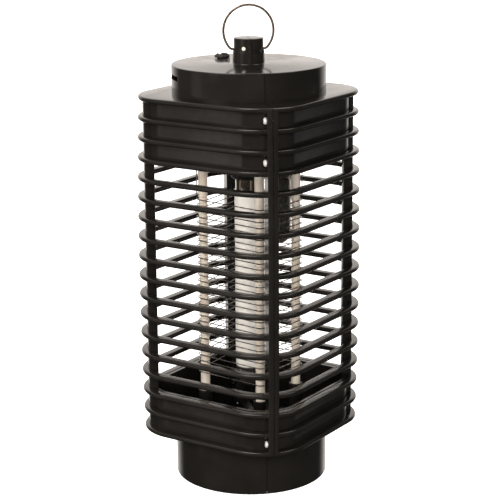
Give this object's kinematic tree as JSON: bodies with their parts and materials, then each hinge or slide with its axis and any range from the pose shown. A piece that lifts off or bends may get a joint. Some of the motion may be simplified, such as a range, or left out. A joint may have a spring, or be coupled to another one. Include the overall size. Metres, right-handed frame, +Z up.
{
  "type": "electric bug zapper",
  "caption": "Lantern-shaped electric bug zapper: louvred square cage in two moulded halves around a lamp and a wire grid, with a hanging ring and a collecting tray.",
  "frame": {"origin": "centre of the foot's underside", "axes": "+Z up along the lamp; the flat louvred walls face X and Y; the seam of the two halves runs through the +X -Y and -X +Y corners"},
  "size_m": [0.1062, 0.1062, 0.273],
  "materials": {
    "black_casing": "glossy moulded black plastic",
    "black_tray": "semi-gloss moulded black plastic",
    "black_inner_plastic": "black plastic",
    "hanger_wire": "drawn steel wire",
    "black_rubber": "matte black rubber",
    "nickel": "nickel-plated steel",
    "lamp_glass": "frosted white glass tube",
    "starter_aluminium": "drawn aluminium",
    "ivory_insulator": "ivory insulating plastic",
    "grid_wire": "bare steel wire",
    "screw_steel": "zinc-plated steel",
    "board": "green solder mask",
    "yellow_capacitor": "yellow film capacitor case",
    "red_capacitor": "red-brown dipped capacitor",
    "black_component": "black moulded component body",
    "tan_resistor": "tan lacquered resistor body"
  },
  "bodies": {
    "casing": {"left_shell": "black_casing", "right_shell": "black_casing", "cord_inlet_bush": "black_rubber", "lamp_plate": "black_inner_plastic", "lamp_holder": "black_inner_plastic", "lamp_contact": "nickel", "lamp_cap": "nickel", "lamp_glass": "lamp_glass", "starter_can": "starter_aluminium", "starter_holder": "black_inner_plastic", "front_grid_post": "ivory_insulator", "right_grid_post": "ivory_insulator", "back_grid_post": "ivory_insulator", "left_grid_post": "ivory_insulator", "live_grid_wire": "grid_wire", "return_grid_wire": "grid_wire", "grid_base": "black_inner_plastic", "front_seam_screw_1": "screw_steel", "front_seam_screw_2": "screw_steel", "front_seam_screw_3": "screw_steel", "back_seam_screw_1": "screw_steel", "back_seam_screw_2": "screw_steel", "back_seam_screw_3": "screw_steel", "plate_screw_1": "screw_steel", "plate_screw_2": "screw_steel", "plate_screw_3": "screw_steel", "plate_screw_4": "screw_steel", "circuit_board": "board", "board_screw_1": "screw_steel", "board_screw_2": "screw_steel", "ballast_capacitor": "yellow_capacitor", "multiplier_capacitor_1": "red_capacitor", "multiplier_capacitor_2": "red_capacitor", "multiplier_capacitor_3": "red_capacitor", "multiplier_capacitor_4": "red_capacitor", "rectifier_diode_1": "black_component", "rectifier_diode_2": "black_component", "rectifier_diode_3": "black_component", "rectifier_diode_4": "black_component", "bleed_resistor": "tan_resistor", "series_resistor": "tan_resistor", "cord_terminal_block": "black_component"},
    "hanger": {"hanging_ring": "hanger_wire"},
    "tray": {"collecting_tray": "black_tray"}
  },
  "joints": [
    {"name": "ring_swing", "type": "hinge", "parent": "casing", "child": "hanger", "pos_m": [0, 0, 0.248], "axis": [0.7071, 0.7071, 0], "range_deg": [-100, 100]},
    {"name": "tray_slide", "type": "slide", "parent": "casing", "child": "tray", "axis": [0, 0, -1], "range_m": [0, 0.04]}
  ]
}
